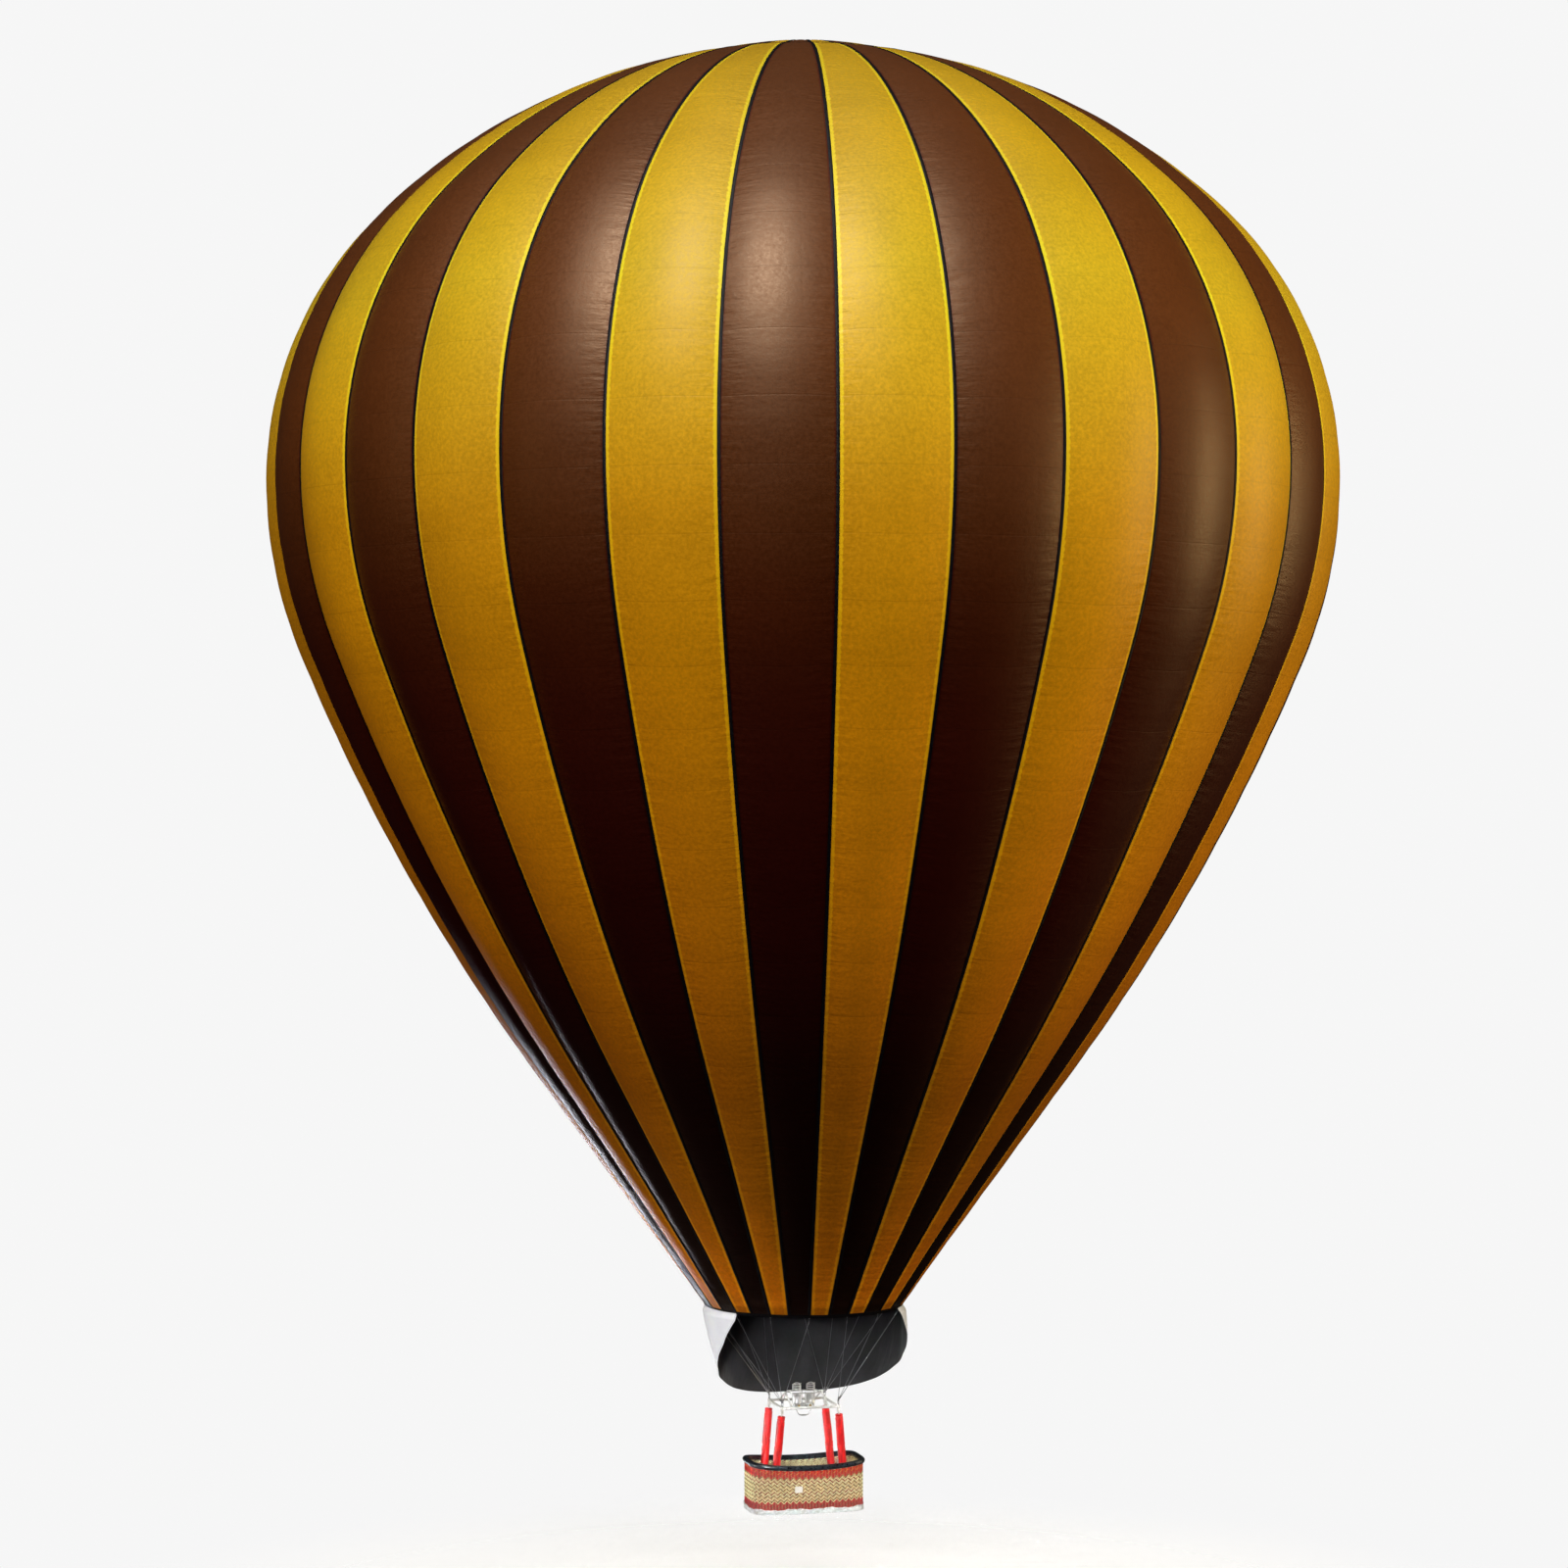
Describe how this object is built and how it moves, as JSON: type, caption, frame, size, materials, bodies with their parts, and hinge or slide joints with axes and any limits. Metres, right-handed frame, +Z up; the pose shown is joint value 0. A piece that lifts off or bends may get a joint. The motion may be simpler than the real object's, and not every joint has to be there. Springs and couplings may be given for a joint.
{
  "type": "hot air balloon",
  "caption": "Striped hot air balloon with bulging gores, mouth scoop, gimballed twin burner on padded uprights and a wicker basket with gas cylinders.",
  "frame": {"origin": "centre of the envelope's widest ring, on the balloon's vertical axis", "axes": "+Z up, +X along the basket's long side to the right, -Y the front, where the scoop is open"},
  "size_m": [19.9036, 19.9036, 27.3829],
  "materials": {
    "yellow_fabric": "coated ripstop, satin",
    "brown_fabric": "coated ripstop, satin",
    "black_webbing": "woven load tape, matte",
    "charcoal_fabric": "flame resistant cloth, matte",
    "steel": "stainless, brushed",
    "white_frame": "pale tube, satin",
    "red_cover": "padded cover, satin",
    "nylon_rod": "nylon rod",
    "wicker": "woven cane with coloured rows",
    "rim_leather": "padded dark leather",
    "base_hide": "scuffed rawhide",
    "plywood": "worn plywood and hardwood",
    "grey_cylinder": "satin",
    "white_plate": "blank plate"
  },
  "bodies": {
    "root": {"gores_yellow": "yellow_fabric", "gores_brown": "brown_fabric", "load_tapes": "black_webbing", "crown_ring": "steel", "scoop": "charcoal_fabric", "flying_wires_front_left": "steel", "flying_wires_front_right": "steel", "flying_wires_back_left": "steel", "flying_wires_back_right": "steel", "burner_frame": "white_frame", "upright_rod_front_left": "nylon_rod", "upright_rod_front_right": "nylon_rod", "upright_rod_back_left": "nylon_rod", "upright_rod_back_right": "nylon_rod", "upright_cover_front_left": "red_cover", "upright_cover_front_right": "red_cover", "upright_cover_back_left": "red_cover", "upright_cover_back_right": "red_cover", "basket_wall": "wicker", "basket_floor": "plywood", "rim_pad": "rim_leather", "base_hide": "base_hide", "runner_front": "plywood", "runner_back": "plywood", "front_plate": "white_plate", "gas_cylinder_front_left": "grey_cylinder", "gas_cylinder_front_right": "grey_cylinder", "gas_cylinder_back_left": "grey_cylinder", "gas_cylinder_back_right": "grey_cylinder"},
    "valve": {"parachute_valve": "yellow_fabric"},
    "gimbal": {"gimbal_ring": "steel"},
    "burner": {"burner_block": "steel", "burner_can_left": "steel", "burner_can_right": "steel", "burner_coil_left": "steel", "burner_coil_right": "steel"}
  },
  "joints": [
    {"name": "valve_slide", "type": "slide", "parent": "root", "child": "valve", "axis": [0, 0, -1], "range_m": [0, 1.6], "stiffness_N_per_m": 40, "springref_m": -3},
    {"name": "gimbal_tilt", "type": "hinge", "parent": "root", "child": "gimbal", "pos_m": [0, 0, -16.99], "axis": [1, 0, 0], "range_deg": [-15, 15]},
    {"name": "burner_tilt", "type": "hinge", "parent": "gimbal", "child": "burner", "pos_m": [0, 0, -16.99], "axis": [0, 1, 0], "range_deg": [-15, 15]}
  ]
}
